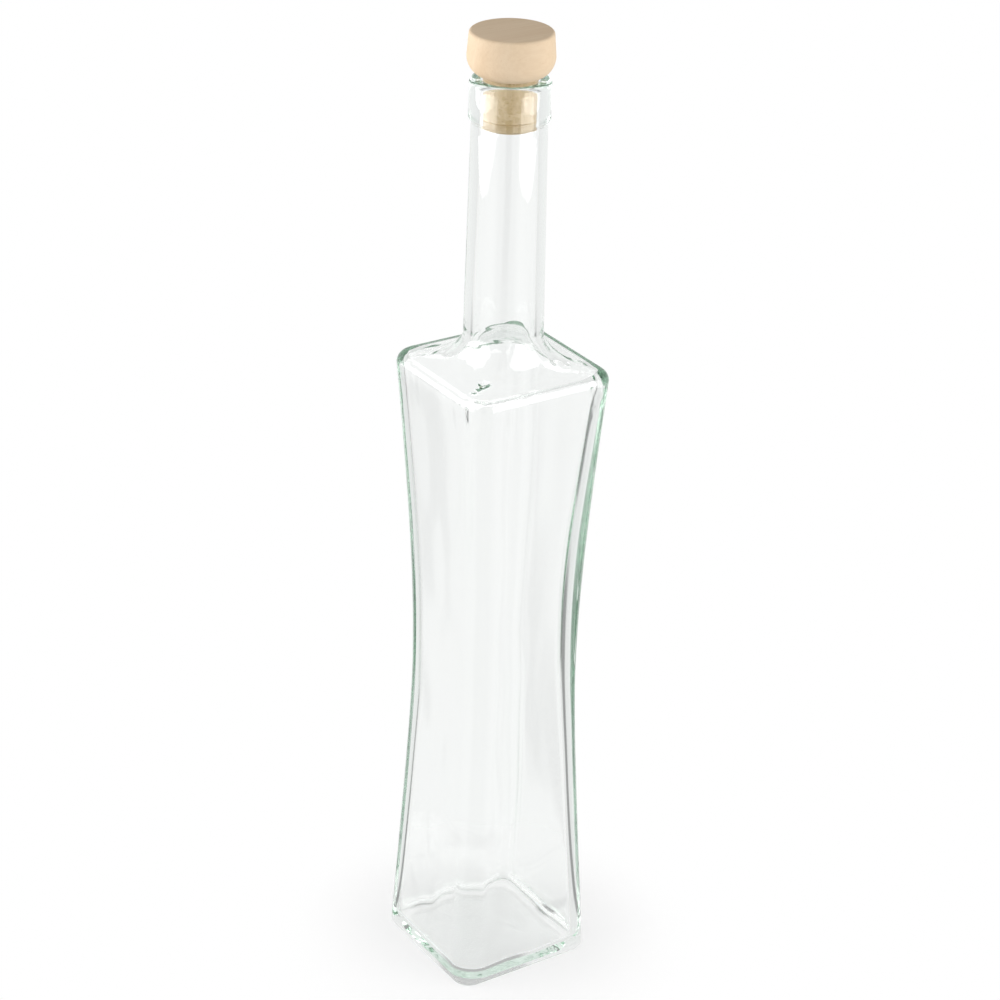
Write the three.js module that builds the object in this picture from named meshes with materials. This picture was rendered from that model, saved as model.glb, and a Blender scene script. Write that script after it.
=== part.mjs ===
// A tall clear glass bottle with a waisted square body, and the stopper that closes it.
// Millimetres, +Z up. The origin is where the bottle's axis meets the surface it stands on.

import * as THREE from "three";

// Body: widths are across the flat faces, heights are above the standing surface.
const baseWidth = 57.4;
const waistWidth = 47.8;
const shoulderWidth = 59.2;
const waistHeight = 120.5;
const shoulderHeight = 241.5;
const lowerFlankBend = 24;
const upperFlankBend = 72;
const baseCornerRadius = 7.1;
const shoulderCornerRadius = 8.6;
const heelRadius = 2;
const shoulderEdgeRadius = 4;
const shoulderEdgeShare = 0.8;

// Glass thickness, and the form of the cavity's floor and of the underside.
const bodyWall = 3.1;
const cornerGather = 1.8;
const floorThickness = 3.4;
const floorCrown = 2.4;
const floorCornerRadius = 3.5;
const bearingWidth = 4.6;
const pushUpHeight = 2.2;

// Shoulder, neck and mouth.
const shoulderRise = 9.2;
const shoulderSteepness = 0.75;
const shoulderSweepPower = 5;
const shoulderCornerPower = 1.5;
const neckBaseRadius = 14.1;
const neckTopRadius = 13.05;
const neckWall = 3.2;
const glassHeight = 344.5;
const bandHeight = 13.5;
const bandRadius = 14;
const bandUndercut = 1.8;
const lipOuterRadius = 2;
const lipInnerRadius = 1.2;
const boreRadius = 9.7;

// Stopper: its shank grips the bore and holds the head a little above the lip.
const headLift = 0.8;
const headRadius = 15;
const headTopRadius = 14.4;
const headHeight = 15.5;
const headEdgeRadius = 0.5;
const headUnderInset = 6.4;
const headUnderRise = 7;
const pocketDepth = 6;
const pocketRim = 0.5;
const pocketClearance = 0.3;
const shankClearance = 0.3;
const shankReach = 17.7;
const shankTaper = 0.4;
const leadInHeight = 3.4;
const leadInInset = 1.2;

// Fineness of the surfaces: how many steps each stretch of the skin is drawn with.
const anglesPerQuadrant = 14;
const cornerDensity = 0.4;
const turnedSides = 48;
const flankSteps = 10;
const edgeSteps = 4;
const shoulderSteps = 8;
const floorSteps = 4;
const neckSteps = 4;
const lipSteps = 4;
const headEdgeSteps = 7;

// Levels that several pieces share.
const neckBaseHeight = shoulderHeight + shoulderRise;
const bandBottom = glassHeight - bandHeight;
const headUnderside = glassHeight + headLift;
const shankRadius = boreRadius - shankClearance;

const quarterTurn = Math.PI / 2;

// Evenly spaced shares of the way from just after 0 up to 1.
function steps(count) {
  return Array.from({ length: count }, (_, i) => (i + 1) / count);
}

function between(from, to, share) {
  return from + (to - from) * share;
}

// Angles round the axis, closer together at the body's corners than on its faces.
function sweepAngles() {
  const angles = [];
  for (let quadrant = 0; quadrant < 4; quadrant += 1) {
    for (let i = 0; i < anglesPerQuadrant; i += 1) {
      const u = (2 * i) / anglesPerQuadrant - 1;
      const warped = u * (cornerDensity + (1 - cornerDensity) * Math.abs(u));
      angles.push((quadrant + (1 + warped) / 2) * quarterTurn);
    }
  }
  return angles;
}

// Distance from the axis to a square with round corners, at one angle.
// A corner radius equal to the half width makes the square a circle.
function squareReach(angle, halfWidth, corner) {
  const turned = angle % quarterTurn;
  const folded = Math.min(turned, quarterTurn - turned);
  const centre = halfWidth - corner;
  if (Math.tan(folded) * halfWidth <= centre) return halfWidth / Math.cos(folded);
  const along = centre * (Math.cos(folded) + Math.sin(folded));
  const across = centre * (Math.cos(folded) - Math.sin(folded));
  return along + Math.sqrt(corner * corner - across * across);
}

function square(height, halfWidth, corner) {
  return { height, halfWidth, corner };
}

function circle(height, radius) {
  return { height, halfWidth: radius, corner: radius };
}

// One closed skin over a run of sections, from a point on the axis to another such point.
function loft(startHeight, sections, endHeight) {
  const angles = sweepAngles();
  const count = angles.length;
  const positions = [0, 0, startHeight];
  for (const { height, halfWidth, corner } of sections) {
    for (const angle of angles) {
      const reach = squareReach(angle, halfWidth, corner);
      positions.push(reach * Math.cos(angle), reach * Math.sin(angle), height);
    }
  }
  positions.push(0, 0, endHeight);
  const last = 1 + sections.length * count;
  const at = (ring, i) => 1 + ring * count + (i % count);
  const faces = [];
  for (let i = 0; i < count; i += 1) {
    faces.push(0, at(0, i + 1), at(0, i));
    for (let ring = 0; ring + 1 < sections.length; ring += 1) {
      faces.push(at(ring, i), at(ring, i + 1), at(ring + 1, i + 1));
      faces.push(at(ring, i), at(ring + 1, i + 1), at(ring + 1, i));
    }
    faces.push(at(sections.length - 1, i), at(sections.length - 1, i + 1), last);
  }
  const geometry = new THREE.BufferGeometry();
  geometry.setAttribute("position", new THREE.Float32BufferAttribute(positions, 3));
  geometry.setIndex(faces);
  geometry.computeVertexNormals();
  return geometry;
}

// Half the body's width at a height: two flanks that meet in a soft bend at the waist.
function flank(height) {
  const below = height < waistHeight;
  const bend = below ? lowerFlankBend : upperFlankBend;
  const reach = below ? waistHeight : shoulderHeight - waistHeight;
  const endWidth = below ? baseWidth : shoulderWidth;
  const rise = Math.hypot(bend, height - waistHeight) - bend;
  const fullRise = Math.hypot(bend, reach) - bend;
  return between(waistWidth, endWidth, rise / fullRise) / 2;
}

function cornerRadius(height) {
  return between(baseCornerRadius, shoulderCornerRadius, height / shoulderHeight);
}

// The body's faces, its shoulder edge and the sweep up to the neck.
// An inset of 0 gives the outside, and the wall's thickness gives the cavity.
function bodySections(bottom, inset, gather, neckRadius) {
  const edgeBottom = shoulderHeight - inset - shoulderEdgeRadius;
  const sections = [];
  for (const share of [0, ...steps(flankSteps)]) {
    const height = between(bottom, edgeBottom, share);
    const corner = cornerRadius(height) - inset + gather;
    sections.push(square(height, flank(height) - inset, corner));
  }
  const top = sections[sections.length - 1];
  let edge = top;
  for (const share of steps(edgeSteps)) {
    const turn = share * shoulderEdgeShare * quarterTurn;
    const drawn = shoulderEdgeRadius * (1 - Math.cos(turn));
    const height = edgeBottom + shoulderEdgeRadius * Math.sin(turn);
    edge = square(height, top.halfWidth - drawn, top.corner - drawn);
    sections.push(edge);
  }
  for (const share of steps(shoulderSteps)) {
    const swept = share ** shoulderSweepPower;
    const climb = between(share, swept, shoulderSteepness);
    const height = between(edge.height, neckBaseHeight, climb);
    const halfWidth = between(edge.halfWidth, neckRadius, share);
    const corner = between(edge.corner, neckRadius, share ** shoulderCornerPower);
    sections.push(square(height, halfWidth, corner));
  }
  return sections;
}

// Underside: a shallow push-up inside a flat bearing ring, then the rounded heel.
function footSections() {
  const bearingOuter = flank(heelRadius) - heelRadius;
  const bearingInner = bearingOuter - bearingWidth;
  const sections = [];
  for (const share of steps(floorSteps)) {
    const height = pushUpHeight * (1 - share * share);
    sections.push(square(height, bearingInner * share, baseCornerRadius * share));
  }
  for (const share of [0, ...steps(edgeSteps).slice(0, -1)]) {
    const turn = share * quarterTurn;
    const drawn = heelRadius * (1 - Math.sin(turn));
    const height = heelRadius * (1 - Math.cos(turn));
    const corner = cornerRadius(heelRadius) - drawn;
    sections.push(square(height, bearingOuter + heelRadius - drawn, corner));
  }
  return sections;
}

// Outside of the neck, the band round the mouth, and the rounded lip down to the bore.
function mouthSections() {
  const sections = [];
  for (const share of steps(neckSteps)) {
    const height = between(neckBaseHeight, bandBottom - bandUndercut, share);
    sections.push(circle(height, between(neckBaseRadius, neckTopRadius, share)));
  }
  for (const share of steps(edgeSteps)) {
    const ease = (1 - Math.cos(share * Math.PI)) / 2;
    const height = bandBottom - bandUndercut * (1 - share);
    sections.push(circle(height, between(neckTopRadius, bandRadius, ease)));
  }
  for (const share of [0, ...steps(lipSteps)]) {
    const turn = share * quarterTurn;
    const height = glassHeight - lipOuterRadius * (1 - Math.sin(turn));
    sections.push(circle(height, bandRadius - lipOuterRadius * (1 - Math.cos(turn))));
  }
  for (const share of [0, ...steps(lipSteps)]) {
    const turn = share * quarterTurn;
    const height = glassHeight - lipInnerRadius * (1 - Math.cos(turn));
    sections.push(circle(height, boreRadius + lipInnerRadius * (1 - Math.sin(turn))));
  }
  return sections;
}

// Inside of the bottle, from the bore down to the rounded edge and crown of the floor.
function cavitySections() {
  const neckBore = neckBaseRadius - neckWall;
  const boreTop = glassHeight - lipInnerRadius;
  const sections = [];
  for (const share of steps(neckSteps).slice(0, -1)) {
    const height = between(boreTop, neckBaseHeight, share);
    sections.push(circle(height, between(boreRadius, neckBore, share)));
  }
  const wallBottom = floorThickness + floorCornerRadius;
  const walls = bodySections(wallBottom, bodyWall, cornerGather, neckBore);
  sections.push(...walls.reverse());
  const foot = sections[sections.length - 1];
  const cornerSquareness = foot.corner / foot.halfWidth;
  for (const share of steps(edgeSteps)) {
    const turn = share * quarterTurn;
    const height = wallBottom - floorCornerRadius * Math.sin(turn);
    const halfWidth = foot.halfWidth - floorCornerRadius * (1 - Math.cos(turn));
    sections.push(square(height, halfWidth, halfWidth * cornerSquareness));
  }
  const floor = sections[sections.length - 1];
  for (const share of steps(floorSteps).slice(0, -1).reverse()) {
    const height = floorThickness + floorCrown * (1 - share * share);
    sections.push(square(height, floor.halfWidth * share, floor.corner * share));
  }
  return sections;
}

// A turned solid from a profile of radii and heights that starts and ends on the axis.
function turned(profile) {
  const points = profile.map(([radius, height]) => new THREE.Vector2(radius, height));
  const geometry = new THREE.LatheGeometry(points, turnedSides);
  geometry.rotateX(quarterTurn);
  return geometry;
}

// Points along a rounded edge, from the turn where it starts to a full quarter turn.
function roundedEdge(count, pointAt, startTurn = 0) {
  return [0, ...steps(count)].map((share) => pointAt(between(startTurn, quarterTurn, share)));
}

function glassBottle() {
  const outside = bodySections(heelRadius, 0, 0, neckBaseRadius);
  const sections = [...footSections(), ...outside, ...mouthSections(), ...cavitySections()];
  const geometry = loft(pushUpHeight, sections, floorThickness + floorCrown);
  const material = new THREE.MeshStandardMaterial({
    color: 0xe9f1ec,
    roughness: 0.05,
    metalness: 0,
    transparent: true,
    opacity: 0.35,
  });
  const mesh = new THREE.Mesh(geometry, material);
  mesh.name = "glass_bottle";
  return mesh;
}

// The head is a wooden disc with a softly rounded lower edge and a pocket for the shank.
function stopperHead() {
  const pocketRadius = shankRadius + pocketClearance;
  const underRadius = headRadius - headUnderInset;
  const rimTurn = Math.asin((pocketRadius + pocketRim - underRadius) / headUnderInset);
  const lowerEdgeAt = (turn) => [
    underRadius + headUnderInset * Math.sin(turn),
    headUnderRise * (1 - Math.cos(turn)),
  ];
  const lowerEdge = roundedEdge(headEdgeSteps, lowerEdgeAt, rimTurn);
  const upperEdge = roundedEdge(edgeSteps, (turn) => [
    headTopRadius - headEdgeRadius * (1 - Math.cos(turn)),
    headHeight - headEdgeRadius * (1 - Math.sin(turn)),
  ]);
  const pocket = [[0, pocketDepth], [pocketRadius, pocketDepth], [pocketRadius, 0]];
  const profile = [...pocket, ...lowerEdge, ...upperEdge, [0, headHeight]];
  const material = new THREE.MeshStandardMaterial({
    color: 0xe6c9a2,
    roughness: 0.7,
    metalness: 0,
  });
  const mesh = new THREE.Mesh(turned(profile), material);
  mesh.name = "stopper_head";
  return mesh;
}

// The shank is a slightly tapered plug with a lead-in at its lower end, set in the head's pocket.
function stopperShank() {
  const tipRadius = shankRadius - shankTaper;
  const shankTop = pocketDepth - pocketClearance;
  const leadIn = roundedEdge(edgeSteps, (turn) => [
    tipRadius - leadInInset * (1 - Math.sin(turn)),
    leadInHeight * (1 - Math.cos(turn)) - shankReach,
  ]);
  const profile = [[0, -shankReach], ...leadIn, [shankRadius, 0], [shankRadius, shankTop], [0, shankTop]];
  const material = new THREE.MeshStandardMaterial({
    color: 0xc9a878,
    roughness: 0.6,
    metalness: 0,
  });
  const mesh = new THREE.Mesh(turned(profile), material);
  mesh.name = "stopper_shank";
  return mesh;
}

const stopper = new THREE.Group();
stopper.position.z = headUnderside;
stopper.add(stopperHead(), stopperShank());

const bottle = new THREE.Group();
bottle.add(glassBottle(), stopper);

export default bottle;
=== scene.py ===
"""A tall clear glass bottle with a waisted square body and a wooden-headed stopper, on a white table."""

import math

import bpy
from mathutils import Matrix, Vector, noise


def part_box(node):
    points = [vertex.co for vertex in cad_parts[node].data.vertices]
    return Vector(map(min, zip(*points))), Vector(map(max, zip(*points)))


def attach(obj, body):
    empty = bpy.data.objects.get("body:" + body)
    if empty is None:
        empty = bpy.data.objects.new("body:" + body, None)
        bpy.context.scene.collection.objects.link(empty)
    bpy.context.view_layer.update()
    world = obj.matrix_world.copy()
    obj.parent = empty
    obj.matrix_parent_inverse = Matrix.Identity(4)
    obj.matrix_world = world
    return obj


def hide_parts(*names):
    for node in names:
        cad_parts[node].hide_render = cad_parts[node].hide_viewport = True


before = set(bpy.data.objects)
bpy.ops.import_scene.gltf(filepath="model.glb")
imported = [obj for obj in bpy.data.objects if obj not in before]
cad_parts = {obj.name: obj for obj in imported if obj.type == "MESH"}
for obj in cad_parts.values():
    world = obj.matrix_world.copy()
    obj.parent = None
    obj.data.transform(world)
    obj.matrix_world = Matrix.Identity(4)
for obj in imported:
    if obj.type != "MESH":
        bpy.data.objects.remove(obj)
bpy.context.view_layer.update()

MM = 0.001
QUARTER = math.pi / 2
_, glass_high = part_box("glass_bottle")
head_low, head_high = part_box("stopper_head")
shank_low, shank_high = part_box("stopper_shank")

# Camera, in metres and radians: a long lens that looks down on the bottle
CAMERA_DISTANCE = 1.032
CAMERA_ELEVATION = math.radians(26.56)
CAMERA_AZIMUTH = math.radians(-33.57)
CAMERA_ROLL = math.radians(1.68)
CAMERA_AIM_ASIDE = 0.00054
CAMERA_AIM_HEIGHT = 0.1867
CAMERA_LENS = 103.7
CAMERA_SENSOR = 36

# Body of the bottle, in millimetres like every form below
BASE_WIDTH = 57.4
WAIST_WIDTH = 47.8
SHOULDER_WIDTH = 59.2
WAIST_HEIGHT = 120.5
SHOULDER_HEIGHT = 241.5
LOWER_FLANK_BEND = 24
UPPER_FLANK_BEND = 72
BASE_CORNER_RADIUS = 7.1
SHOULDER_CORNER_RADIUS = 8.6
HEEL_RADIUS = 2
SHOULDER_EDGE_RADIUS = 4
SHOULDER_EDGE_SHARE = 0.8

# Glass thickness, the cavity's floor and the underside
BODY_WALL = 3.1
CAVITY_EDGE_RADIUS = 1.5
CORNER_GATHER = 1.8
FLOOR_THICKNESS = 3.4
FLOOR_CROWN = 2.4
FLOOR_CORNER_RADIUS = 3.5
BEARING_WIDTH = 4.6
PUSH_UP_HEIGHT = 2.2

# Shoulder, neck and mouth
SHOULDER_RISE = 9.2
SHOULDER_STEEPNESS = 0.75
SHOULDER_SWEEP_POWER = 5
SHOULDER_CORNER_POWER = 1.5
NECK_BASE_RADIUS = 14.1
NECK_TOP_RADIUS = 13.05
NECK_WALL = 3.2
BAND_HEIGHT = 13.5
BAND_RADIUS = 14
BAND_UNDERCUT = 1.8
LIP_OUTER_RADIUS = 2
LIP_INNER_RADIUS = 1.2
BORE_RADIUS = 9.7

# Stopper
HEAD_RADIUS = 15
HEAD_TOP_RADIUS = 14.4
HEAD_EDGE_RADIUS = 1.1
HEAD_UNDER_INSET = 6.4
HEAD_UNDER_RISE = 7
POCKET_DEPTH = 6
POCKET_RIM = 0.5
POCKET_CLEARANCE = 0.3
SHANK_CLEARANCE = 0.3
SHANK_TAPER = 0.4
LEAD_IN_HEIGHT = 3.4
LEAD_IN_INSET = 1.2
GROOVE_DEPTH = 0.3
GROOVE_WIDTH = 0.6

# Heights that follow from the solids and from the sizes above
GLASS_HEIGHT = glass_high.z / MM
HEAD_UNDERSIDE = head_low.z / MM
HEAD_TOP = head_high.z / MM
SHANK_BOTTOM = shank_low.z / MM
SHANK_TOP = shank_high.z / MM
NECK_BASE_HEIGHT = SHOULDER_HEIGHT + SHOULDER_RISE
BAND_BOTTOM = GLASS_HEIGHT - BAND_HEIGHT

# Facets round the axis; at the body's corners the angles are this share of an even spacing apart
ANGLES_PER_QUADRANT = 48
CORNER_SPACING = 0.4
TURNED_SIDES = 192
SHARP_ANGLE = math.radians(35)

# Steps along each stretch of the profiles
PUSH_UP_STEPS = 14
HEEL_STEPS = 8
FLANK_STEPS = 60
SHOULDER_EDGE_STEPS = 12
SHOULDER_STEPS = 28
NECK_STEPS = 24
BAND_STEPS = 10
LIP_OUTER_STEPS = 10
LIP_INNER_STEPS = 8
BORE_STEPS = 30
FLOOR_EDGE_STEPS = 12
FLOOR_STEPS = 14
HEAD_UNDER_STEPS = 24
HEAD_EDGE_STEPS = 8
LEAD_IN_STEPS = 10

# The blown surfaces: how far they wander and over what length, calmer near the shoulder and the table
WALL_WANDER = 0.28
WALL_WANDER_LENGTH = 34
WALL_WANDER_ROUND = 2
CALM_REACH = 16
CALM_SHARE = 0.25
FLOOR_WANDER = 0.45
FLOOR_WANDER_LENGTH = 13
OUTER_WANDER = 0.05
OUTER_WANDER_LENGTH = 30
OUTER_WANDER_START = 4.6

# Extra glass in the cavity's back, left, front and right corners, as (most, middle height, spread)
CORNER_GATHERS = ((1.2, 60, 50), (0.6, 150, 60), (2.2, 10, 30), (4.0, 170, 58))

# Ripples inside the corners of the shoulder, down to where they are too faint to count
RIPPLE_DEPTH = 1.0
RIPPLE_LENGTH = 2.6
RIPPLE_SPREAD = 7
RIPPLE_HEIGHT = 234
RIPPLE_FAINT = 0.01

# A short fold inside the shoulder's front corner; its reach is counted in widths of the fold
FOLD_ENDS = (Vector((-26.2, -18.6, 234)), Vector((-16.8, -13.8, 239.4)))
FOLD_INWARD = Vector((0.5, 0.4, -0.77))
FOLD_DEPTH = 1.9
FOLD_WIDTH = 1.8
FOLD_REACH = 3

# Glass
GLASS_IOR = 1.52
GLASS_TINT = (0.25, 0.54, 0.36)
GLASS_ABSORPTION = 8

# Wood: repeats in a metre along X, Y and Z, and (place, colour) stops
GRAIN_SCALE = (6, 90, 45)
FIBRE_SCALE = (40, 1500, 900)
FLECK_SCALE = (260, 2600, 1500)
GRAIN_TONES = ((0.3, (0.83, 0.64, 0.44)), (0.5, (0.87, 0.69, 0.49)), (0.72, (0.80, 0.60, 0.40)))
FIBRE_TONES = ((0.35, (0.965, 0.95, 0.93)), (0.6, (1, 1, 1)))
FLECK_TONES = ((0.68, (1, 1, 1)), (0.78, (0.88, 0.81, 0.72)))
FLECK_SHARE = 0.7
FIBRE_RELIEF = 0.00001
WOOD_ROUGHNESS = 0.62
WOOD_SPECULAR = 0.3

# Cork: granules and pores in a metre, and (place, colour) stops
GRANULE_SCALE = 900
PORE_SCALE = 1400
GRANULE_TONES = ((0.0, (0.58, 0.42, 0.2)), (0.5, (0.65, 0.48, 0.26)), (1.0, (0.71, 0.55, 0.33)))
PORE_TONES = ((0.3, (0.7, 0.6, 0.5)), (0.4, (1, 1, 1)))
PORE_SHARE = 0.8
PORE_RELIEF = 0.00005
CORK_ROUGHNESS = 0.4

# The Mix node's sockets for colours, which share their names with those for numbers
MIX_FIRST = 6
MIX_SECOND = 7
MIX_RESULT = 2

# Light, where 1 is the white of the background
WHITE = (1, 1, 1, 1)
AMBIENT = 0.28
STUDIO_CEILING = 0.7
SINGLE_MIRROR = 0.92
GUIDED_MIRROR = 1.08
LIGHT_BOUNCES = 64

# What the glass mirrors, as (degrees either side of the camera, brightness); the strips end in metres
STUDIO_WALLS = ((8, 0.1), (13, 0.55), (30, 0.6), (42, 0.92), (120, 0.92), (180, 1))
FLOOR_STRIPS = ((30, 0.55), (42, 0.9), (112, 0.9), (117, 0.3), (127, 0.3), (132, 0.9), (180, 1))
STRIPS_END = (0.55, 0.68)

# Soft lamps in metres, as (degrees round from the camera, distance, width, height)
LAMPS = {
    "left_lamp": (-77, 0.85, 1.08, 0.9),
    "right_lamp": (64, 0.85, 0.78, 0.9),
}
LAMP_RADIANCE = 3.1
LAMP_GAP = 0.01

# Floor and the soft shadow on it, in metres
FLOOR_ALBEDO = 0.6
FLOOR_SIZE = 24
SHADOW_EDGE = (0.024, 0.08)
SHADOW_SHARE = 0.3


def steps(count):
    """Evenly spaced shares of the way from just after 0 up to 1."""
    return [(i + 1) / count for i in range(count)]


def between(start, end, share):
    return start + (end - start) * share


def clamp(share):
    return min(max(share, 0), 1)


def sweep_angles():
    """Angles round the axis, closer together at the body's corners."""
    angles = []
    for quadrant in range(4):
        for i in range(ANGLES_PER_QUADRANT):
            u = 2 * i / ANGLES_PER_QUADRANT - 1
            warped = u * (CORNER_SPACING + (1 - CORNER_SPACING) * abs(u))
            angles.append((quadrant + (1 + warped) / 2) * QUARTER)
    return angles


def square_reach(angle, half_width, corner):
    """Distance from the axis to a square with round corners; a full corner radius makes a circle."""
    turned = angle % QUARTER
    folded = min(turned, QUARTER - turned)
    centre = half_width - corner
    if math.tan(folded) * half_width <= centre:
        return half_width / math.cos(folded)
    along = centre * (math.cos(folded) + math.sin(folded))
    across = centre * (math.cos(folded) - math.sin(folded))
    return along + math.sqrt(max(corner * corner - across * across, 0))


def flank(height):
    """Half the body's width at a height: two flanks that meet in a soft bend at the waist."""
    below = height < WAIST_HEIGHT
    bend = LOWER_FLANK_BEND if below else UPPER_FLANK_BEND
    reach = WAIST_HEIGHT if below else SHOULDER_HEIGHT - WAIST_HEIGHT
    end_width = BASE_WIDTH if below else SHOULDER_WIDTH
    rise = math.hypot(bend, height - WAIST_HEIGHT) - bend
    full_rise = math.hypot(bend, reach) - bend
    return between(WAIST_WIDTH, end_width, rise / full_rise) / 2


def corner_radius(height):
    return between(BASE_CORNER_RADIUS, SHOULDER_CORNER_RADIUS, height / SHOULDER_HEIGHT)


def body_sections(bottom, inset, gather, neck_radius, edge_radius):
    """The body's faces, its shoulder edge and the sweep to the neck, as (height, half width, corner)."""
    edge_bottom = SHOULDER_HEIGHT - inset - edge_radius
    sections = []
    for share in [0, *steps(FLANK_STEPS)]:
        height = between(bottom, edge_bottom, share)
        corner = corner_radius(height) - inset + gather
        sections.append((height, flank(height) - inset, corner))
    top = sections[-1]
    for share in steps(SHOULDER_EDGE_STEPS):
        turn = share * SHOULDER_EDGE_SHARE * QUARTER
        drawn = edge_radius * (1 - math.cos(turn))
        height = edge_bottom + edge_radius * math.sin(turn)
        sections.append((height, top[1] - drawn, top[2] - drawn))
    edge = sections[-1]
    for share in steps(SHOULDER_STEPS):
        swept = share**SHOULDER_SWEEP_POWER
        climb = between(share, swept, SHOULDER_STEEPNESS)
        height = between(edge[0], NECK_BASE_HEIGHT, climb)
        corner = between(edge[2], neck_radius, share**SHOULDER_CORNER_POWER)
        sections.append((height, between(edge[1], neck_radius, share), corner))
    return sections


def foot_sections():
    """Underside: a shallow push-up inside a flat bearing ring, then the rounded heel."""
    bearing_outer = flank(HEEL_RADIUS) - HEEL_RADIUS
    bearing_inner = bearing_outer - BEARING_WIDTH
    sections = []
    for share in steps(PUSH_UP_STEPS):
        height = PUSH_UP_HEIGHT * (1 - share * share)
        sections.append((height, bearing_inner * share, BASE_CORNER_RADIUS * share))
    for share in [0, *steps(HEEL_STEPS)[:-1]]:
        drawn = HEEL_RADIUS * (1 - math.sin(share * QUARTER))
        height = HEEL_RADIUS * (1 - math.cos(share * QUARTER))
        corner = corner_radius(HEEL_RADIUS) - drawn
        sections.append((height, bearing_outer + HEEL_RADIUS - drawn, corner))
    return sections


def mouth_sections():
    """Outside of the neck, the band round the mouth, and the rounded lip down to the bore."""
    sections = []

    def ring(height, radius):
        sections.append((height, radius, radius))

    for share in steps(NECK_STEPS):
        height = between(NECK_BASE_HEIGHT, BAND_BOTTOM - BAND_UNDERCUT, share)
        ring(height, between(NECK_BASE_RADIUS, NECK_TOP_RADIUS, share))
    for share in steps(BAND_STEPS):
        ease = (1 - math.cos(share * math.pi)) / 2
        height = BAND_BOTTOM - BAND_UNDERCUT * (1 - share)
        ring(height, between(NECK_TOP_RADIUS, BAND_RADIUS, ease))
    for share in [0, *steps(LIP_OUTER_STEPS)]:
        turn = share * QUARTER
        height = GLASS_HEIGHT - LIP_OUTER_RADIUS * (1 - math.sin(turn))
        ring(height, BAND_RADIUS - LIP_OUTER_RADIUS * (1 - math.cos(turn)))
    for share in [0, *steps(LIP_INNER_STEPS)]:
        turn = share * QUARTER
        height = GLASS_HEIGHT - LIP_INNER_RADIUS * (1 - math.cos(turn))
        ring(height, BORE_RADIUS + LIP_INNER_RADIUS * (1 - math.sin(turn)))
    return sections


def outside_sections():
    """Outside of the bottle, from the middle of its underside up to the lip."""
    body = body_sections(
        HEEL_RADIUS,
        inset=0,
        gather=0,
        neck_radius=NECK_BASE_RADIUS,
        edge_radius=SHOULDER_EDGE_RADIUS,
    )
    return foot_sections() + body + mouth_sections()


def cavity_sections():
    """Inside of the bottle, from the bore down to the rounded edge and crown of the floor."""
    neck_bore = NECK_BASE_RADIUS - NECK_WALL
    bore_top = GLASS_HEIGHT - LIP_INNER_RADIUS
    sections = []
    for share in steps(BORE_STEPS)[:-1]:
        radius = between(BORE_RADIUS, neck_bore, share)
        sections.append((between(bore_top, NECK_BASE_HEIGHT, share), radius, radius))
    wall_bottom = FLOOR_THICKNESS + FLOOR_CORNER_RADIUS
    body = body_sections(wall_bottom, BODY_WALL, CORNER_GATHER, neck_bore, CAVITY_EDGE_RADIUS)
    sections += reversed(body)
    foot = sections[-1]
    for share in steps(FLOOR_EDGE_STEPS):
        turn = share * QUARTER
        half_width = foot[1] - FLOOR_CORNER_RADIUS * (1 - math.cos(turn))
        height = wall_bottom - FLOOR_CORNER_RADIUS * math.sin(turn)
        sections.append((height, half_width, half_width * foot[2] / foot[1]))
    floor = sections[-1]
    for share in [1 - done for done in steps(FLOOR_STEPS)[:-1]]:
        height = FLOOR_THICKNESS + FLOOR_CROWN * (1 - share * share)
        sections.append((height, floor[1] * share, floor[2] * share))
    return sections


def corner_gather(angle, height):
    """Extra corner radius of the cavity, where the blown glass is thicker than in the other corners."""
    most, middle, spread = CORNER_GATHERS[int(angle // QUARTER) % 4]
    return most * math.exp(-(((height - middle) / spread) ** 2))


def corner_ripple(angle, height, reach):
    """Fine ripples close to the corners of the shoulder, and none elsewhere."""
    aside = reach * math.sin((angle % QUARTER) - QUARTER / 2)
    off = (aside / RIPPLE_SPREAD) ** 2 + ((height - RIPPLE_HEIGHT) / RIPPLE_SPREAD) ** 2
    near = math.exp(-off)
    if near < RIPPLE_FAINT:
        return 0
    place = Vector((reach * math.cos(angle), reach * math.sin(angle), height)) / RIPPLE_LENGTH
    return near * noise.noise(place)


def fold_shift(point):
    """How far the fold in the front corner pushes a point of the cavity inwards."""
    start, end = FOLD_ENDS
    along = clamp((point - start).dot(end - start) / (end - start).length_squared)
    off = (point - start.lerp(end, along)).length / FOLD_WIDTH
    if off > FOLD_REACH:
        return Vector((0, 0, 0))
    return FOLD_INWARD * FOLD_DEPTH * math.exp(-off * off) * (1 + noise.noise(point / FOLD_WIDTH))


def outside_point(angle, section):
    """A point of the outer skin in metres; the body wanders a little inwards and never outwards."""
    height, half_width, corner = section
    reach = square_reach(angle, half_width, corner)
    if height < SHOULDER_HEIGHT:
        place = Vector((math.cos(angle), math.sin(angle), height / OUTER_WANDER_LENGTH))
        reach -= OUTER_WANDER * (1 + noise.noise(place)) / 2 * min(height / OUTER_WANDER_START, 1)
    return Vector((reach * math.cos(angle), reach * math.sin(angle), height)) * MM


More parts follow.
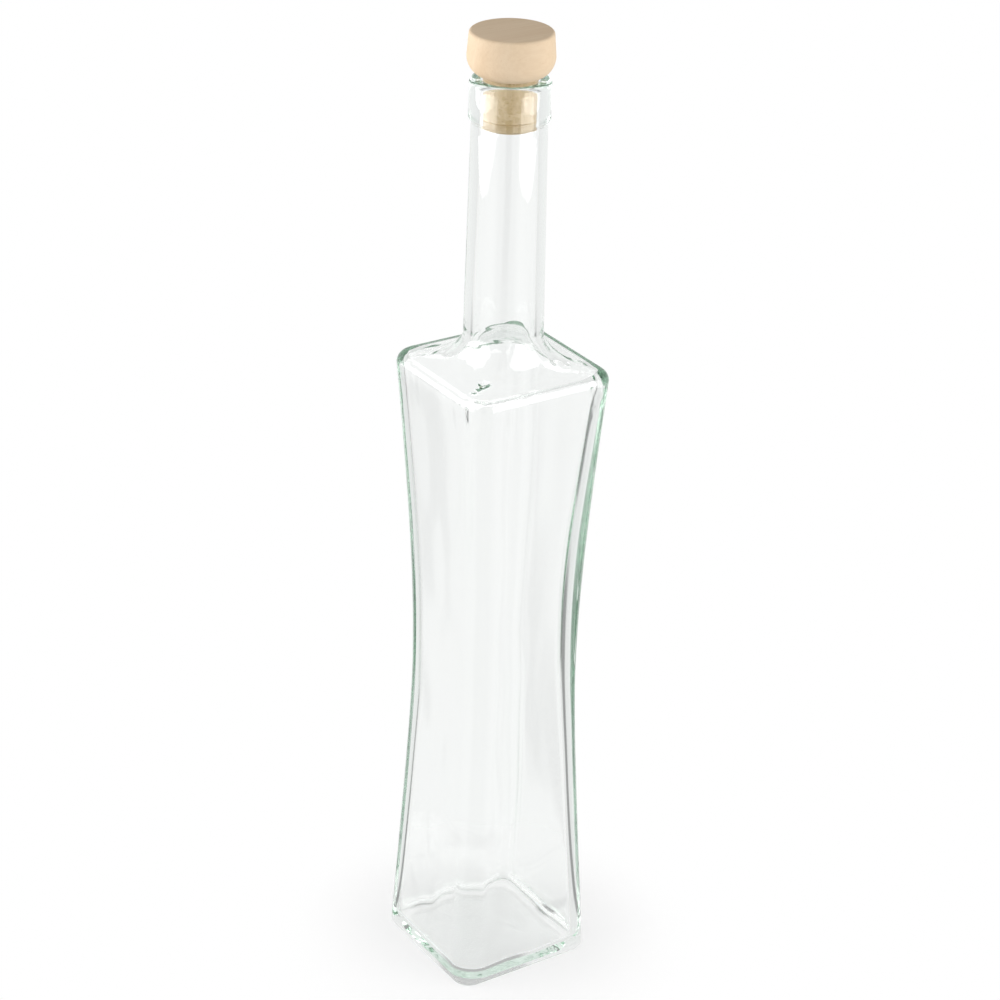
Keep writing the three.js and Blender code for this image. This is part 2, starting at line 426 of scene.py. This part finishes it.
def cavity_point(angle, section):
    """A point of the cavity's skin in metres, with all that is uneven in the blown glass."""
    height, half_width, corner = section
    in_body = clamp((NECK_BASE_HEIGHT - height) / SHOULDER_RISE)
    corner = min(corner + in_body * corner_gather(angle, height), half_width)
    reach = square_reach(angle, half_width, corner)
    along_x, along_y = math.cos(angle), math.sin(angle)
    place = Vector((
        WALL_WANDER_ROUND * along_x,
        WALL_WANDER_ROUND * along_y,
        height / WALL_WANDER_LENGTH,
    ))
    calm = clamp((SHOULDER_HEIGHT - height) / CALM_REACH)
    fade = clamp((BAND_BOTTOM - height) / BAND_HEIGHT) * min(half_width / BORE_RADIUS, 1)
    reach -= WALL_WANDER * between(CALM_SHARE, 1, calm) * fade * noise.noise(place)
    reach -= RIPPLE_DEPTH * corner_ripple(angle, height, reach)
    x, y = reach * along_x, reach * along_y
    low = clamp((FLOOR_THICKNESS + 2 * FLOOR_CORNER_RADIUS - height) / FLOOR_CORNER_RADIUS)
    height += low * FLOOR_WANDER * noise.noise(Vector((x, y, 0)) / FLOOR_WANDER_LENGTH)
    point = Vector((x, y, height))
    return (point + fold_shift(point)) * MM


def skin_mesh(name, start, rings, end):
    """A closed smooth skin over rings of points, with a fan of faces to its first and its last point."""
    count = len(rings[0])
    points = [start]
    for ring in rings:
        points += ring
    points.append(end)
    last_ring = len(rings) - 1
    last = len(points) - 1

    def at(ring, i):
        return 1 + ring * count + i % count

    faces = []
    for i in range(count):
        faces.append((0, at(0, i + 1), at(0, i)))
        for ring in range(last_ring):
            faces.append((at(ring, i), at(ring, i + 1), at(ring + 1, i + 1), at(ring + 1, i)))
        faces.append((at(last_ring, i), at(last_ring, i + 1), last))
    mesh = bpy.data.meshes.new(name)
    mesh.from_pydata(points, [], faces)
    mesh.shade_smooth()
    return mesh


def bottle_mesh(name):
    """One skin: up the outside, over the lip, down the cavity and across its floor."""
    angles = sweep_angles()
    rings = [[outside_point(angle, section) for angle in angles] for section in outside_sections()]
    rings += [[cavity_point(angle, section) for angle in angles] for section in cavity_sections()]
    floor_centre = FLOOR_THICKNESS + FLOOR_CROWN + FLOOR_WANDER * noise.noise(Vector((0, 0, 0)))
    start = Vector((0, 0, PUSH_UP_HEIGHT)) * MM
    return skin_mesh(name, start, rings, Vector((0, 0, floor_centre)) * MM)


def turned_mesh(name, profile):
    """A turned solid from radii and heights in millimetres that start and end on the axis."""
    turns = [math.tau * i / TURNED_SIDES for i in range(TURNED_SIDES)]

    def ring(radius, height):
        return [Vector((radius * math.cos(turn), radius * math.sin(turn), height)) * MM for turn in turns]

    rings = [ring(radius, height) for radius, height in profile[1:-1]]
    start, end = (Vector((0, 0, height)) * MM for _, height in (profile[0], profile[-1]))
    mesh = skin_mesh(name, start, rings, end)
    mesh.set_sharp_from_angle(angle=SHARP_ANGLE)
    return mesh


def rounded_edge(count, point_at, start_turn=0.0):
    """Points along a rounded edge, from the turn where it starts to a full quarter turn."""
    return [point_at(between(start_turn, QUARTER, share)) for share in [0, *steps(count)]]


def head_profile():
    """A pocket below, a large rounding up to the side, a slight taper and a rounded edge to the top."""
    pocket_radius = BORE_RADIUS - SHANK_CLEARANCE + POCKET_CLEARANCE
    pocket_top = HEAD_UNDERSIDE + POCKET_DEPTH
    under_radius = HEAD_RADIUS - HEAD_UNDER_INSET
    rim_turn = math.asin((pocket_radius + POCKET_RIM - under_radius) / HEAD_UNDER_INSET)

    def lower_edge(turn):
        return (
            under_radius + HEAD_UNDER_INSET * math.sin(turn),
            HEAD_UNDERSIDE + HEAD_UNDER_RISE * (1 - math.cos(turn)),
        )

    def upper_edge(turn):
        return (
            HEAD_TOP_RADIUS - HEAD_EDGE_RADIUS * (1 - math.cos(turn)),
            HEAD_TOP - HEAD_EDGE_RADIUS * (1 - math.sin(turn)),
        )

    return [
        (0, pocket_top),
        (pocket_radius, pocket_top),
        (pocket_radius, HEAD_UNDERSIDE),
        *rounded_edge(HEAD_UNDER_STEPS, lower_edge, rim_turn),
        *rounded_edge(HEAD_EDGE_STEPS, upper_edge),
        (HEAD_TOP_RADIUS / 2, HEAD_TOP),
        (0, HEAD_TOP),
    ]


def shank_profile():
    """A slightly tapered plug with a lead-in at its lower end, set off by a fine groove."""
    radius = BORE_RADIUS - SHANK_CLEARANCE
    tip_radius = radius - SHANK_TAPER
    groove_bottom = SHANK_BOTTOM + LEAD_IN_HEIGHT

    def lead_in(turn):
        return (
            tip_radius - LEAD_IN_INSET * (1 - math.sin(turn)),
            SHANK_BOTTOM + LEAD_IN_HEIGHT * (1 - math.cos(turn)),
        )

    return [
        (0, SHANK_BOTTOM),
        *rounded_edge(LEAD_IN_STEPS, lead_in),
        (tip_radius - GROOVE_DEPTH, groove_bottom + GROOVE_WIDTH / 2),
        (tip_radius, groove_bottom + GROOVE_WIDTH),
        (radius, HEAD_UNDERSIDE),
        (radius, SHANK_TOP),
        (0, SHANK_TOP),
    ]


def new_material(name):
    material = bpy.data.materials.new(name)
    material.use_nodes = True
    nodes = material.node_tree.nodes
    return material, nodes, material.node_tree.links, nodes["Principled BSDF"]


def feed(links, socket, value):
    """Gives a socket a number, or links another node's output to it."""
    if isinstance(value, (int, float)):
        socket.default_value = value
    else:
        links.new(value, socket)


def math_node(nodes, links, operation, *values):
    node = nodes.new("ShaderNodeMath")
    node.operation = operation
    for socket, value in zip(node.inputs, values):
        feed(links, socket, value)
    return node.outputs[0]


def map_range(nodes, links, value, span, results, interpolation="LINEAR"):
    """Turns a value that runs over a span into one that runs between two results."""
    node = nodes.new("ShaderNodeMapRange")
    node.interpolation_type = interpolation
    names = ("From Min", "From Max", "To Min", "To Max")
    for name, limit in zip(names, (*span, *results)):
        node.inputs[name].default_value = limit
    links.new(value, node.inputs["Value"])
    return node.outputs[0]


def mix_shader(nodes, links, factor, first, second):
    node = nodes.new("ShaderNodeMixShader")
    for socket, output in zip(node.inputs, (factor, first, second)):
        links.new(output, socket)
    return node.outputs[0]


def mix_colour(nodes, links, factor, first, second, blend="MIX"):
    node = nodes.new("ShaderNodeMix")
    node.data_type = "RGBA"
    node.blend_type = blend
    feed(links, node.inputs["Factor"], factor)
    links.new(first, node.inputs[MIX_FIRST])
    links.new(second, node.inputs[MIX_SECOND])
    return node.outputs[MIX_RESULT]


def ramp(nodes, links, factor, stops):
    """A colour ramp from (place, colour) stops."""
    node = nodes.new("ShaderNodeValToRGB")
    elements = node.color_ramp.elements
    while len(elements) < len(stops):
        elements.new(0.5)
    for element, (place, colour) in zip(elements, stops):
        element.position = place
        element.color = (*colour, 1)
    links.new(factor, node.inputs["Fac"])
    return node.outputs["Color"]


def own_place(nodes, links, scale=(1, 1, 1)):
    """The piece's own coordinates in metres, stretched by a scale for each axis."""
    place = nodes.new("ShaderNodeTexCoord")
    stretch = nodes.new("ShaderNodeMapping")
    stretch.inputs["Scale"].default_value = scale
    links.new(place.outputs["Object"], stretch.inputs["Vector"])
    return stretch.outputs["Vector"]


def noise_node(nodes, links, place, scale, detail, roughness, distortion=0.0):
    node = nodes.new("ShaderNodeTexNoise")
    node.inputs["Scale"].default_value = scale
    node.inputs["Detail"].default_value = detail
    node.inputs["Roughness"].default_value = roughness
    node.inputs["Distortion"].default_value = distortion
    links.new(place, node.inputs["Vector"])
    return node.outputs[0]


def bump(nodes, links, shader, height, distance):
    node = nodes.new("ShaderNodeBump")
    node.inputs["Distance"].default_value = distance
    links.new(height, node.inputs["Height"])
    links.new(node.outputs["Normal"], shader.inputs["Normal"])


def glass_material():
    """Clear glass with the faint green of its iron, which shows where the light goes far through it."""
    material, nodes, links, shader = new_material("clear_glass")
    shader.inputs["Base Color"].default_value = WHITE
    shader.inputs["Roughness"].default_value = 0
    shader.inputs["IOR"].default_value = GLASS_IOR
    shader.inputs["Transmission Weight"].default_value = 1
    absorption = nodes.new("ShaderNodeVolumeAbsorption")
    absorption.inputs["Color"].default_value = (*GLASS_TINT, 1)
    absorption.inputs["Density"].default_value = GLASS_ABSORPTION
    links.new(absorption.outputs["Volume"], nodes["Material Output"].inputs["Volume"])
    return material


def wood_material():
    """Pale, fine-grained wood: long soft bands along X, thin fibres in them and short darker flecks."""
    material, nodes, links, shader = new_material("pale_wood")
    grain_place, fibre_place, fleck_place = (
        own_place(nodes, links, scale) for scale in (GRAIN_SCALE, FIBRE_SCALE, FLECK_SCALE)
    )
    grains = noise_node(nodes, links, grain_place, 1, detail=3, roughness=0.5, distortion=0.4)
    fibres = noise_node(nodes, links, fibre_place, 1, detail=3, roughness=0.6)
    flecks = noise_node(nodes, links, fleck_place, 1, detail=1, roughness=0.5)
    grain = ramp(nodes, links, grains, GRAIN_TONES)
    fibre = ramp(nodes, links, fibres, FIBRE_TONES)
    fleck = ramp(nodes, links, flecks, FLECK_TONES)
    grained = mix_colour(nodes, links, 1, grain, fibre, "MULTIPLY")
    flecked = mix_colour(nodes, links, FLECK_SHARE, grained, fleck, "MULTIPLY")
    links.new(flecked, shader.inputs["Base Color"])
    shader.inputs["Roughness"].default_value = WOOD_ROUGHNESS
    shader.inputs["Specular IOR Level"].default_value = WOOD_SPECULAR
    bump(nodes, links, shader, fibres, FIBRE_RELIEF)
    return material


def plug_material():
    """Pressed cork: fine granules of nearly the same tan, with small dark pores and a waxed surface."""
    material, nodes, links, shader = new_material("plug")
    place = own_place(nodes, links)
    cells = nodes.new("ShaderNodeTexVoronoi")
    cells.inputs["Scale"].default_value = GRANULE_SCALE
    links.new(place, cells.inputs["Vector"])
    tones = nodes.new("ShaderNodeSeparateColor")
    links.new(cells.outputs["Color"], tones.inputs["Color"])
    granule = ramp(nodes, links, tones.outputs[0], GRANULE_TONES)
    pores = noise_node(nodes, links, place, PORE_SCALE, detail=2, roughness=0.6)
    pore = ramp(nodes, links, pores, PORE_TONES)
    pored = mix_colour(nodes, links, PORE_SHARE, granule, pore, "MULTIPLY")
    links.new(pored, shader.inputs["Base Color"])
    shader.inputs["Roughness"].default_value = CORK_ROUGHNESS
    shader.inputs["Coat Weight"].default_value = 1
    shader.inputs["Coat Roughness"].default_value = CORK_ROUGHNESS
    bump(nodes, links, shader, pores, PORE_RELIEF)
    return material


def add_piece(name, mesh, material, body, node):
    """A finished piece of the object, riding on its body in place of its CAD node."""
    mesh.materials.append(material)
    piece = bpy.data.objects.new(name, mesh)
    bpy.context.scene.collection.objects.link(piece)
    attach(piece, body)
    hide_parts(node)


def around(azimuth, elevation=0.0):
    """A direction out from the bottle; azimuth counts from -Y towards +X."""
    return Vector((
        math.sin(azimuth) * math.cos(elevation),
        -math.cos(azimuth) * math.cos(elevation),
        math.sin(elevation),
    ))


def make_camera():
    back = around(CAMERA_AZIMUTH, CAMERA_ELEVATION)
    right = Vector((math.cos(CAMERA_AZIMUTH), math.sin(CAMERA_AZIMUTH), 0))
    up = back.cross(right)
    rolled_right = math.cos(CAMERA_ROLL) * right + math.sin(CAMERA_ROLL) * up
    rolled_up = math.cos(CAMERA_ROLL) * up - math.sin(CAMERA_ROLL) * right
    turn = Matrix((rolled_right, rolled_up, back)).transposed()
    aim = right * CAMERA_AIM_ASIDE + Vector((0, 0, CAMERA_AIM_HEIGHT))
    data = bpy.data.cameras.new("camera")
    data.lens = CAMERA_LENS
    data.sensor_width = CAMERA_SENSOR
    camera = bpy.data.objects.new("camera", data)
    camera.rotation_mode = "QUATERNION"
    camera.rotation_quaternion = turn.to_quaternion()
    camera.location = aim + back * CAMERA_DISTANCE
    bpy.context.scene.collection.objects.link(camera)
    bpy.context.scene.camera = camera


def ray(nodes, question):
    """What a Light Path node says of the ray at hand."""
    return nodes.new("ShaderNodeLightPath").outputs[question]


def mirrored(nodes, links):
    """1 for rays that a surface has reflected at least once."""
    return math_node(nodes, links, "GREATER_THAN", ray(nodes, "Glossy Depth"), 0)


def unreflected(nodes, links):
    """1 for rays that come straight from the camera or through glass without a reflection."""
    seen, passed = ray(nodes, "Is Camera Ray"), ray(nodes, "Is Transmission Ray")
    either = math_node(nodes, links, "MAXIMUM", seen, passed)
    direct = math_node(nodes, links, "SUBTRACT", 1, mirrored(nodes, links))
    return math_node(nodes, links, "MULTIPLY", either, direct)


def mirror_strength(nodes, links):
    """Less light for a single reflection than for light that the glass has guided along by several."""
    return map_range(nodes, links, ray(nodes, "Glossy Depth"), (1, 2), (SINGLE_MIRROR, GUIDED_MIRROR))


def light_by_path(nodes, links, direct, mirror, scattered):
    """One shader for what the camera sees, one for what surfaces mirror and one for all other light."""
    reflected = mix_shader(nodes, links, mirrored(nodes, links), scattered, mirror)
    return mix_shader(nodes, links, unreflected(nodes, links), reflected, direct)


def toward(nodes, links, place, azimuth):
    """How far a place lies out in a direction from the bottle."""
    node = nodes.new("ShaderNodeVectorMath")
    node.operation = "DOT_PRODUCT"
    node.inputs[1].default_value = around(azimuth)
    links.new(place, node.inputs[0])
    return node.outputs["Value"]


def studio_glow(nodes, links, place, walls):
    """Brightness of the studio towards a place; the middle of its ramp lies on the camera's side."""
    ahead = toward(nodes, links, place, CAMERA_AZIMUTH)
    aside = toward(nodes, links, place, CAMERA_AZIMUTH + QUARTER)
    turn = math_node(nodes, links, "ARCTAN2", aside, ahead)
    share = math_node(nodes, links, "MULTIPLY_ADD", turn, 1 / math.tau, 0.5)
    stops = [(0.5 + side * angle / 360, (glow,) * 3) for side in (-1, 1) for angle, glow in walls]
    return ramp(nodes, links, share, sorted(stops))


def make_world():
    """White behind the bottle; reflections see bright walls under a dimmer ceiling."""
    world = bpy.data.worlds.new("studio")
    world.use_nodes = True
    nodes, links = world.node_tree.nodes, world.node_tree.links
    place = nodes.new("ShaderNodeTexCoord").outputs["Generated"]
    split = nodes.new("ShaderNodeSeparateXYZ")
    links.new(place, split.inputs[0])
    climb = map_range(nodes, links, split.outputs["Z"], (0, 1), (1, STUDIO_CEILING))
    walls = studio_glow(nodes, links, place, STUDIO_WALLS)
    glow = math_node(nodes, links, "MULTIPLY", walls, climb)
    strength = math_node(nodes, links, "MULTIPLY", glow, mirror_strength(nodes, links))
    ambient = nodes["Background"]
    studio, white = (nodes.new("ShaderNodeBackground") for _ in range(2))
    for background in (ambient, studio, white):
        background.inputs["Color"].default_value = WHITE
    ambient.inputs["Strength"].default_value = AMBIENT
    links.new(strength, studio.inputs["Strength"])
    surface = light_by_path(nodes, links, white.outputs[0], studio.outputs[0], ambient.outputs[0])
    links.new(surface, nodes["World Output"].inputs["Surface"])
    bpy.context.scene.world = world


def floor_material():
    """White to the camera, with the object's soft shadow close to it."""
    material, nodes, links, scattered = new_material("floor_white")
    scattered.inputs["Base Color"].default_value = (FLOOR_ALBEDO, FLOOR_ALBEDO, FLOOR_ALBEDO, 1)
    scattered.inputs["Roughness"].default_value = 1
    scattered.inputs["Specular IOR Level"].default_value = 0
    place = nodes.new("ShaderNodeNewGeometry").outputs["Position"]
    distance = nodes.new("ShaderNodeVectorMath")
    distance.operation = "LENGTH"
    links.new(place, distance.inputs[0])
    out = distance.outputs["Value"]
    near = map_range(nodes, links, out, SHADOW_EDGE, (SHADOW_SHARE, 0), "SMOOTHSTEP")
    in_strips = map_range(nodes, links, out, STRIPS_END, (1, 0), "SMOOTHSTEP")
    walls = studio_glow(nodes, links, place, STUDIO_WALLS)
    strips = studio_glow(nodes, links, place, FLOOR_STRIPS)
    mirror = nodes.new("ShaderNodeEmission")
    links.new(mix_colour(nodes, links, in_strips, walls, strips), mirror.inputs["Color"])
    links.new(mirror_strength(nodes, links), mirror.inputs["Strength"])
    white = nodes.new("ShaderNodeEmission")
    shaded = nodes.new("ShaderNodeBsdfDiffuse")
    shaded.inputs["Color"].default_value = WHITE
    direct = mix_shader(nodes, links, near, white.outputs[0], shaded.outputs[0])
    surface = light_by_path(nodes, links, direct, mirror.outputs[0], scattered.outputs[0])
    links.new(surface, nodes["Material Output"].inputs["Surface"])
    return material


def make_floor():
    side = FLOOR_SIZE / 2
    corners = [(-side, -side, 0), (side, -side, 0), (side, side, 0), (-side, side, 0)]
    mesh = bpy.data.meshes.new("floor")
    mesh.from_pydata(corners, [], [(0, 1, 2, 3)])
    mesh.materials.append(floor_material())
    floor = bpy.data.objects.new("floor", mesh)
    bpy.context.scene.collection.objects.link(floor)


def softbox(name, degrees, distance, width, height):
    """An upright soft lamp that stands on the floor and faces the bottle."""
    back = around(CAMERA_AZIMUTH + math.radians(degrees))
    data = bpy.data.lights.new(name, "AREA")
    data.shape = "RECTANGLE"
    data.size = width
    data.size_y = height
    data.energy = LAMP_RADIANCE * math.pi * width * height
    lamp = bpy.data.objects.new(name, data)
    lamp.location = back * distance + Vector((0, 0, height / 2 + LAMP_GAP))
    lamp.rotation_mode = "QUATERNION"
    lamp.rotation_quaternion = back.to_track_quat("Z", "Y")
    lamp.visible_camera = False
    bpy.context.scene.collection.objects.link(lamp)


make_camera()
glass_mesh = bottle_mesh("bottle_glass")
add_piece("bottle_glass", glass_mesh, glass_material(), "bottle", "glass_bottle")
head_mesh = turned_mesh("wooden_head", head_profile())
add_piece("wooden_head", head_mesh, wood_material(), "stopper", "stopper_head")
shank_mesh = turned_mesh("cork_shank", shank_profile())
add_piece("cork_shank", shank_mesh, plug_material(), "stopper", "stopper_shank")

make_world()
make_floor()
for name, placing in LAMPS.items():
    softbox(name, *placing)
cycles = bpy.context.scene.cycles
cycles.max_bounces = LIGHT_BOUNCES
cycles.glossy_bounces = LIGHT_BOUNCES
cycles.transmission_bounces = LIGHT_BOUNCES
bpy.context.scene.view_settings.view_transform = "Standard"
